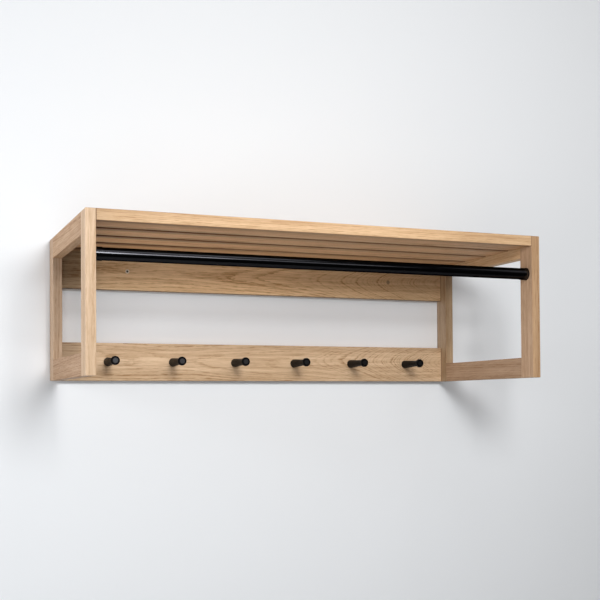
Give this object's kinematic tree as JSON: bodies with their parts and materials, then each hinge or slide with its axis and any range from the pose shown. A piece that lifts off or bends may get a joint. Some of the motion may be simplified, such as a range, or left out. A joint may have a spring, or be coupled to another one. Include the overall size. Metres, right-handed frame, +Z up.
{
  "type": "wall shelf",
  "caption": "Oak wall shelf with a slatted hat shelf between two open side frames, a round black hanging rail and a row of black turned pegs.",
  "frame": {"origin": "on the wall plane, midway between the two wall screw holes in the upper board", "axes": "+X to the right seen from the front, +Y into the wall, +Z up; the front faces -Y"},
  "size_m": [1, 0.42, 0.312],
  "materials": {
    "oak_frame": "oiled oak, matt",
    "oak_slats": "oiled oak, matt",
    "oak_boards": "oiled oak, matt",
    "beech_dowel": "plain beech",
    "black_rail": "gloss black coating",
    "black_peg": "satin black coating",
    "zinc_screw": "zinc plated"
  },
  "bodies": {
    "root": {"hanging_rail": "black_rail", "left_board_dowels": "beech_dowel", "left_frame_dowels": "beech_dowel", "left_front_post": "oak_frame", "left_lower_frame_rail": "oak_frame", "left_rail_socket": "black_rail", "left_rear_post": "oak_frame", "left_slat_dowels": "beech_dowel", "left_upper_frame_rail": "oak_frame", "peg_1": "black_peg", "peg_2": "black_peg", "peg_3": "black_peg", "peg_4": "black_peg", "peg_5": "black_peg", "peg_6": "black_peg", "peg_board": "oak_boards", "peg_screws": "zinc_screw", "rear_slat": "oak_slats", "right_board_dowels": "beech_dowel", "right_frame_dowels": "beech_dowel", "right_front_post": "oak_frame", "right_lower_frame_rail": "oak_frame", "right_rail_socket": "black_rail", "right_rear_post": "oak_frame", "right_slat_dowels": "beech_dowel", "right_upper_frame_rail": "oak_frame", "shelf_slat_1": "oak_slats", "shelf_slat_2": "oak_slats", "shelf_slat_3": "oak_slats", "shelf_slat_4": "oak_slats", "socket_screws": "zinc_screw", "upper_board": "oak_boards"}
  },
  "joints": []
}
